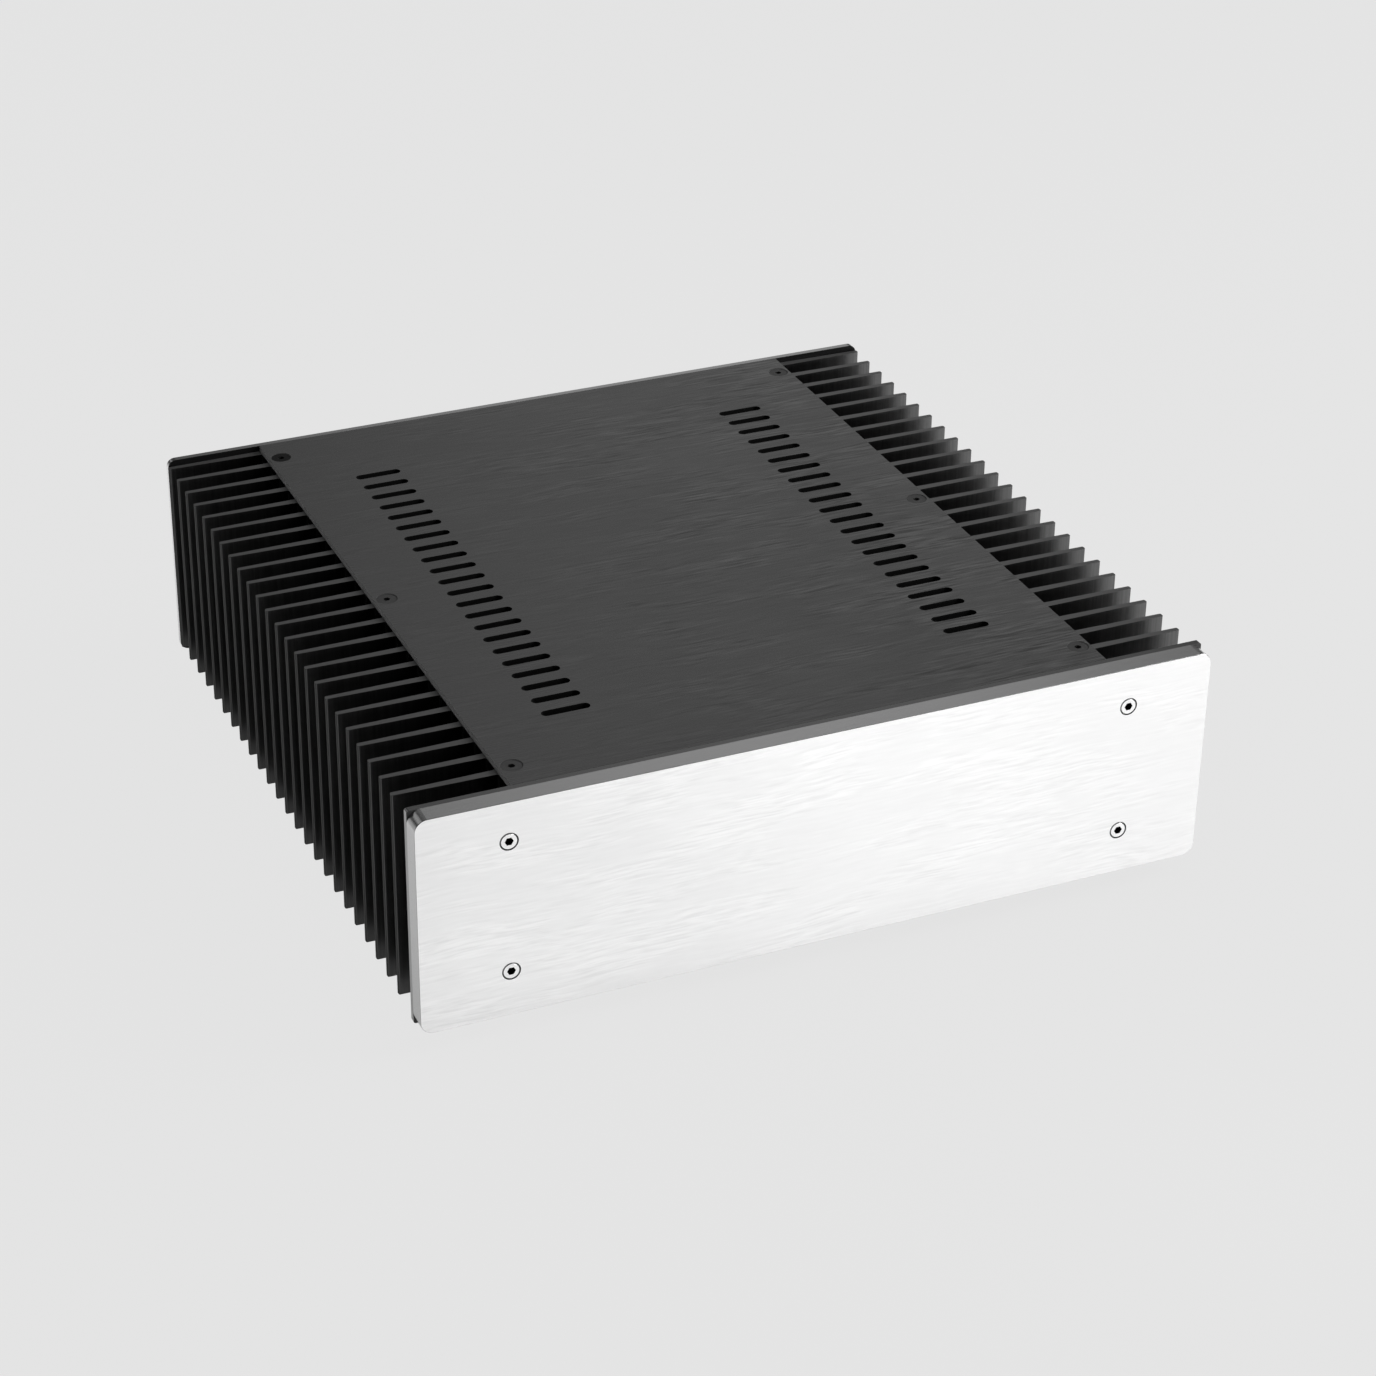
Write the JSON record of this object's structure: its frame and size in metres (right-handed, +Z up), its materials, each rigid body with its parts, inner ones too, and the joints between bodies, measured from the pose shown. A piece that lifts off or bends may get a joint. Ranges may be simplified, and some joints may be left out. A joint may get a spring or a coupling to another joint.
{
  "type": "amplifier chassis",
  "caption": "Low slotted case held between two finned side heatsinks, closed by a thick silver front panel and a thin black rear plate, on rubber feet.",
  "frame": {"origin": "middle of the footprint, on the surface that the feet stand on", "axes": "+X across the front towards its right-hand end, +Y from the front panel to the rear panel, +Z up"},
  "size_m": [0.32, 0.312, 0.098],
  "materials": {
    "brushed_panel": "brushed along its length, clear anodised",
    "black_plate": "black anodised, satin, with bare cut edges",
    "black_cover": "brushed across the case, black anodised",
    "black_extrusion": "as extruded, black anodised, with sawn ends",
    "bright_screw": "bright stainless",
    "black_screw": "black, satin",
    "dark_screw": "black oxide, matt",
    "zinc_hardware": "zinc plated",
    "foot_rubber": "moulded, matt"
  },
  "bodies": {
    "root": {"front_panel": "brushed_panel", "front_inner_plate": "black_plate", "rear_panel": "black_plate", "left_heatsink": "black_extrusion", "right_heatsink": "black_extrusion", "top_cover": "black_cover", "bottom_cover": "black_cover", "front_panel_screws": "bright_screw", "front_panel_washers": "zinc_hardware", "front_panel_nuts": "zinc_hardware", "inner_plate_screws": "black_screw", "rear_panel_screws": "black_screw", "top_cover_screws": "black_screw", "rear_left_cover_screw": "dark_screw", "bottom_cover_screws": "black_screw", "front_left_foot": "foot_rubber", "front_right_foot": "foot_rubber", "rear_left_foot": "foot_rubber", "rear_right_foot": "foot_rubber", "foot_washers": "zinc_hardware", "foot_screws": "zinc_hardware", "foot_nuts": "zinc_hardware"}
  },
  "joints": []
}
